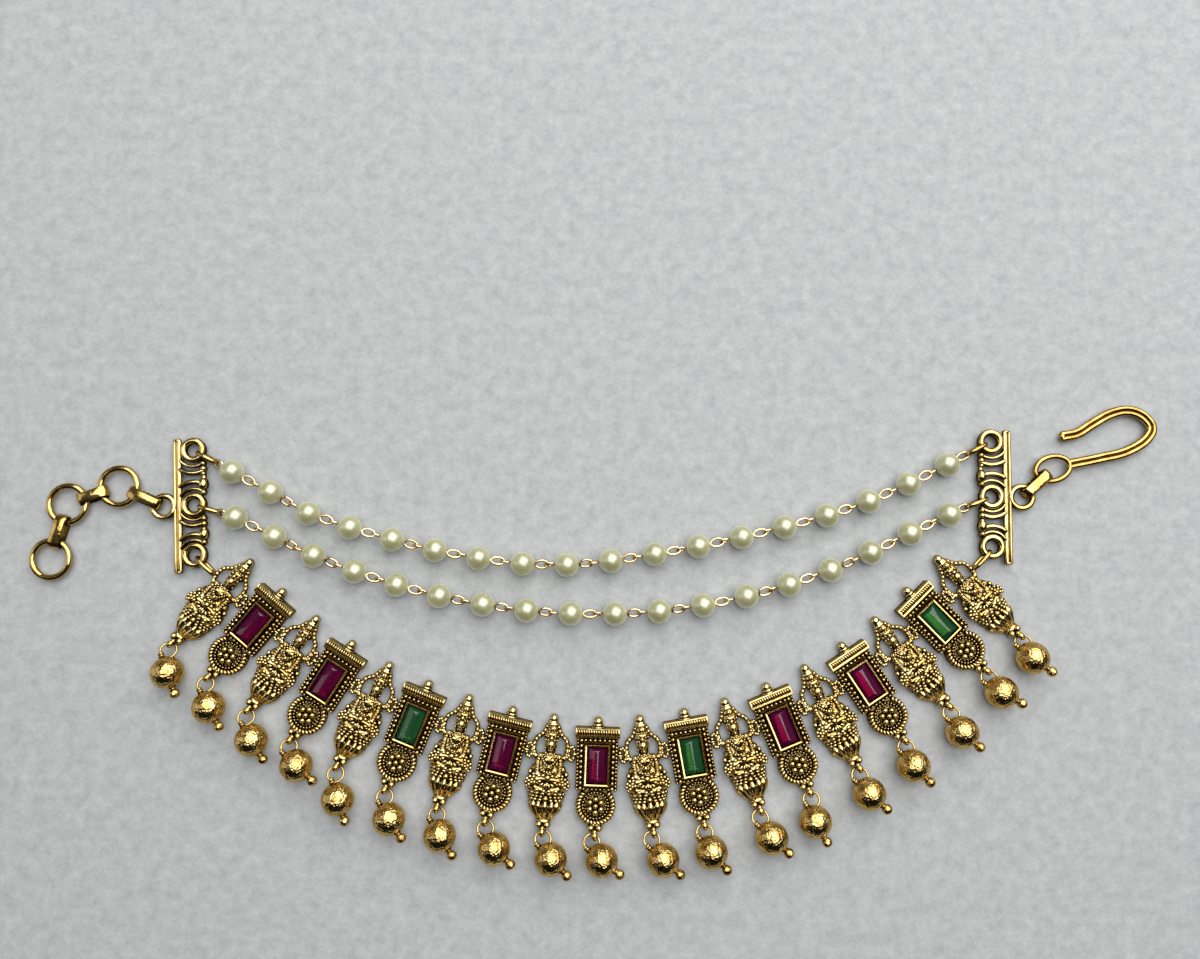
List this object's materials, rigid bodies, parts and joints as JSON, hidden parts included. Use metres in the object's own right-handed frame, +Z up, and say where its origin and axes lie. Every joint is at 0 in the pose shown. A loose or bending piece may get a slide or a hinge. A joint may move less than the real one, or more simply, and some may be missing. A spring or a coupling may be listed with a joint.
{
  "type": "ear chain",
  "caption": "Antique gold ear chain of seated figure and gem plaques with ball drops, pearl strings, ring extension and ear hook, lying flat",
  "frame": {"origin": "middle of the whole chain's outline, on the surface that it lies on", "axes": "+X along the chain towards the hook, +Y from the drops towards the pearl strings, +Z up from the surface"},
  "size_m": [0.1898, 0.0774, 0.0054],
  "materials": {
    "antique_gold": "cast gold plating with dark patina in the recesses",
    "polished_gold": "polished gold plating",
    "pearl": "ivory pearl, soft lustre",
    "red_stone": "dark ruby coloured cut stone, polished",
    "green_stone": "dark emerald coloured cut stone, polished"
  },
  "bodies": {
    "root": {"ball_drop_01": "polished_gold", "ball_drop_02": "polished_gold", "ball_drop_03": "polished_gold", "ball_drop_04": "polished_gold", "ball_drop_05": "polished_gold", "ball_drop_06": "polished_gold", "ball_drop_07": "polished_gold", "ball_drop_08": "polished_gold", "ball_drop_09": "polished_gold", "ball_drop_10": "polished_gold", "ball_drop_11": "polished_gold", "ball_drop_12": "polished_gold", "ball_drop_13": "polished_gold", "ball_drop_14": "polished_gold", "ball_drop_15": "polished_gold", "ball_drop_16": "polished_gold", "ball_drop_17": "polished_gold", "ball_drop_18": "polished_gold", "ball_drop_19": "polished_gold", "ear_hook": "polished_gold", "end_bar_left": "antique_gold", "end_bar_right": "antique_gold", "extension_ring_1": "polished_gold", "extension_ring_2": "polished_gold", "extension_ring_3": "polished_gold", "figure_plaque_01": "antique_gold", "figure_plaque_03": "antique_gold", "figure_plaque_05": "antique_gold", "figure_plaque_07": "antique_gold", "figure_plaque_09": "antique_gold", "figure_plaque_11": "antique_gold", "figure_plaque_13": "antique_gold", "figure_plaque_15": "antique_gold", "figure_plaque_17": "antique_gold", "figure_plaque_19": "antique_gold", "gem_plaque_02": "antique_gold", "gem_plaque_04": "antique_gold", "gem_plaque_06": "antique_gold", "gem_plaque_08": "antique_gold", "gem_plaque_10": "antique_gold", "gem_plaque_12": "antique_gold", "gem_plaque_14": "antique_gold", "gem_plaque_16": "antique_gold", "gem_plaque_18": "antique_gold", "green_stone_06": "green_stone", "green_stone_12": "green_stone", "green_stone_18": "green_stone", "pearl_string_lower": "pearl", "pearl_string_upper": "pearl", "red_stone_02": "red_stone", "red_stone_04": "red_stone", "red_stone_08": "red_stone", "red_stone_10": "red_stone", "red_stone_14": "red_stone", "red_stone_16": "red_stone", "strap_link_1": "polished_gold", "strap_link_2": "polished_gold", "strap_link_3": "polished_gold", "strap_link_4": "polished_gold"}
  },
  "joints": []
}
